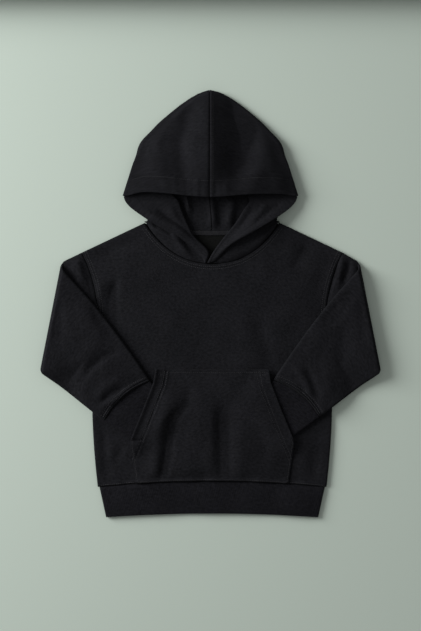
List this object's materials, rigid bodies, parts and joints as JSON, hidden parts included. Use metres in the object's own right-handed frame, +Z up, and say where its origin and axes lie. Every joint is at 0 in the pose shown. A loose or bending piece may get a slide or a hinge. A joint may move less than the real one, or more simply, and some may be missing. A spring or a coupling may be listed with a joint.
{
  "type": "toddler hoodie",
  "caption": "Plain black fleece pullover hoodie lying flat front up, hood opened above, sleeves folded over the chest with the cuffs in the front pocket.",
  "frame": {"origin": "under the middle of the garment's outline, on the surface it lies on", "axes": "+Y from the hem to the top of the hood, +X to the right as seen from above, +Z up off the surface"},
  "size_m": [0.4554, 0.5736, 0.024],
  "materials": {
    "fleece": "matt brushed jersey fleece, near black",
    "rib": "matt fine rib knit, near black with a trace of violet",
    "tape": "matt twill tape, charcoal"
  },
  "bodies": {
    "root": {"back_panel": "fleece", "front_panel": "fleece", "pocket": "fleece", "sleeve_left": "fleece", "sleeve_right": "fleece", "hood_left": "fleece", "hood_right": "fleece", "cuff_left": "rib", "cuff_right": "rib", "hem_band": "rib", "neck_tape": "tape"}
  },
  "joints": []
}
